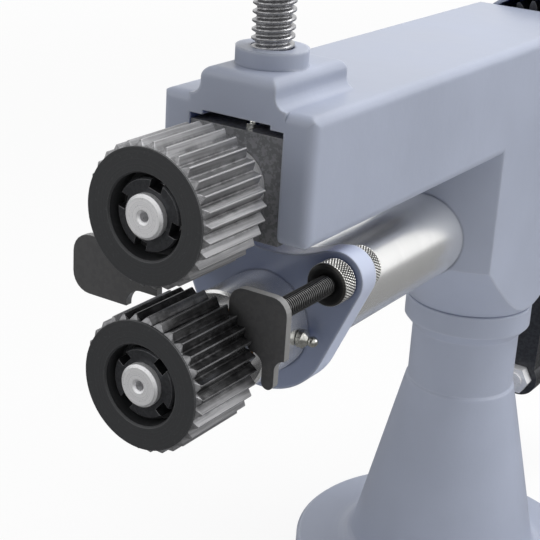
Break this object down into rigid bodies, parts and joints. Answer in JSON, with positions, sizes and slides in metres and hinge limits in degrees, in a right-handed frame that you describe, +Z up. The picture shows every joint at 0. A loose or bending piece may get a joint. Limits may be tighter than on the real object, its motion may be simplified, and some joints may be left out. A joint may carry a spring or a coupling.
{
  "type": "sheet metal crimper",
  "caption": "Hand cranked bench crimper: fluted rolls on geared shafts, one in a fixed tube and one in a swinging arm, on a cast column.",
  "frame": {"origin": "bench plane under the column axis, at the centre of the base bolt circle", "axes": "+Z up along the column axis; +Y from the rolls towards the crank; +X to the right seen from the rolls"},
  "size_m": [0.2, 0.5662, 0.455],
  "materials": {
    "casting_paint": "satin grey-blue enamel on a casting",
    "bracket_paint": "satin dark blue-grey enamel",
    "roll_steel": "hardened and blackened, teeth ground bright",
    "bright_steel": "turned and ground",
    "tube_steel": "polished",
    "block_iron": "bare machined iron, mottled",
    "dark_steel": "blackened",
    "black_oxide": "black oxide",
    "bronze": "turned bronze",
    "nipple_plate": "zinc plated",
    "grip_plastic": "moulded"
  },
  "bodies": {
    "column": {"column": "casting_paint"},
    "head": {"head_casting": "casting_paint", "lower_tube": "tube_steel", "lower_front_bush": "bronze", "lower_rear_bush": "bronze", "gauge_bracket": "bracket_paint", "bracket_grub_screw": "black_oxide", "tube_grease_nipple": "nipple_plate", "gear_cover": "casting_paint", "cover_posts": "bright_steel", "cover_screws": "black_oxide"},
    "clamp_screw": {"swivel_clamp_screw": "black_oxide"},
    "lower_line": {"lower_shaft": "bright_steel", "lower_roll": "roll_steel", "lower_roll_nut": "dark_steel", "lower_roll_key": "dark_steel", "lower_gear": "dark_steel", "lower_gear_key": "dark_steel", "crank_spacer": "bright_steel", "crank_arm": "dark_steel", "crank_washer": "bright_steel", "crank_nut": "bright_steel", "grip_pin": "bright_steel", "grip_pin_nut": "bright_steel"},
    "grip": {"crank_grip": "grip_plastic"},
    "upper_carrier": {"bearing_block": "block_iron", "block_bush": "bronze", "block_grease_nipple": "nipple_plate", "foot_ring_nut": "dark_steel", "barrel_bush": "bronze"},
    "upper_line": {"upper_shaft": "bright_steel", "upper_roll": "roll_steel", "upper_roll_nut": "dark_steel", "upper_roll_key": "dark_steel", "upper_gear": "dark_steel", "upper_gear_key": "dark_steel", "upper_gear_nut": "bright_steel"},
    "foot": {"screw_foot": "dark_steel"},
    "screw": {"adjusting_screw": "bright_steel"},
    "bar": {"tommy_bar": "bright_steel", "bar_knobs": "black_oxide"},
    "right_fence": {"right_gauge_plate": "black_oxide", "right_gauge_rod": "black_oxide"},
    "right_front_knurl": {"right_front_nut": "dark_steel"},
    "right_rear_knurl": {"right_rear_nut": "dark_steel"},
    "left_fence": {"left_gauge_plate": "black_oxide", "left_gauge_rod": "black_oxide"},
    "left_front_knurl": {"left_front_nut": "dark_steel"},
    "left_rear_knurl": {"left_rear_nut": "dark_steel"}
  },
  "joints": [
    {"name": "head_swivel", "type": "hinge", "parent": "column", "child": "head", "pos_m": [0, 0, 0.198], "axis": [0, 0, 1], "continuous": true},
    {"name": "clamp_turn", "type": "hinge", "parent": "head", "child": "clamp_screw", "pos_m": [-0.045, 0, 0.215], "axis": [1, 0, 0], "range_deg": [-360, 0]},
    {"name": "crank_turn", "type": "hinge", "parent": "head", "child": "lower_line", "pos_m": [0, 0, 0.26], "axis": [0, 1, 0], "continuous": true},
    {"name": "grip_spin", "type": "hinge", "parent": "lower_line", "child": "grip", "pos_m": [0, 0.174, 0.1], "axis": [0, 1, 0], "continuous": true},
    {"name": "upper_swing", "type": "hinge", "parent": "head", "child": "upper_carrier", "pos_m": [0, 0.038, 0.338], "axis": [1, 0, 0], "range_deg": [0, 2.25]},
    {"name": "upper_spin", "type": "hinge", "parent": "upper_carrier", "child": "upper_line", "pos_m": [0, 0.038, 0.338], "axis": [0, 1, 0], "continuous": true},
    {"name": "screw_feed", "type": "slide", "parent": "head", "child": "foot", "axis": [0, 0, 1], "range_m": [-0.0114, 0]},
    {"name": "screw_turn", "type": "hinge", "parent": "foot", "child": "screw", "pos_m": [0, -0.254, 0.4], "axis": [0, 0, 1], "range_deg": [-1009, 0]},
    {"name": "bar_slide", "type": "slide", "parent": "screw", "child": "bar", "axis": [1, 0, 0], "range_m": [-0.031, 0.031]},
    {"name": "right_fence_slide", "type": "slide", "parent": "head", "child": "right_fence", "axis": [0, 1, 0], "range_m": [0, 0.009]},
    {"name": "right_front_nut_turn", "type": "hinge", "parent": "head", "child": "right_front_knurl", "pos_m": [0.0395, -0.253, 0.2915], "axis": [0, 1, 0], "range_deg": [-2161, 1]},
    {"name": "right_rear_nut_turn", "type": "hinge", "parent": "head", "child": "right_rear_knurl", "pos_m": [0.0395, -0.228, 0.2915], "axis": [0, 1, 0], "range_deg": [-2161, 1]},
    {"name": "left_fence_slide", "type": "slide", "parent": "head", "child": "left_fence", "axis": [0, 1, 0], "range_m": [0, 0.009]},
    {"name": "left_front_nut_turn", "type": "hinge", "parent": "head", "child": "left_front_knurl", "pos_m": [-0.0395, -0.253, 0.2915], "axis": [0, 1, 0], "range_deg": [-2161, 1]},
    {"name": "left_rear_nut_turn", "type": "hinge", "parent": "head", "child": "left_rear_knurl", "pos_m": [-0.0395, -0.228, 0.2915], "axis": [0, 1, 0], "range_deg": [-2161, 1]}
  ],
  "couplings": [
    {"joint": "upper_spin", "follows": "crank_turn", "ratio": -1},
    {"joint": "screw_feed", "follows": "screw_turn", "m_per_rad": 0.00063662},
    {"joint": "upper_swing", "follows": "screw_turn", "ratio": -0.0021802},
    {"joint": "right_front_nut_turn", "follows": "right_fence_slide", "rad_per_m": -4188.8},
    {"joint": "right_rear_nut_turn", "follows": "right_fence_slide", "rad_per_m": -4188.8},
    {"joint": "left_front_nut_turn", "follows": "left_fence_slide", "rad_per_m": -4188.8},
    {"joint": "left_rear_nut_turn", "follows": "left_fence_slide", "rad_per_m": -4188.8}
  ]
}
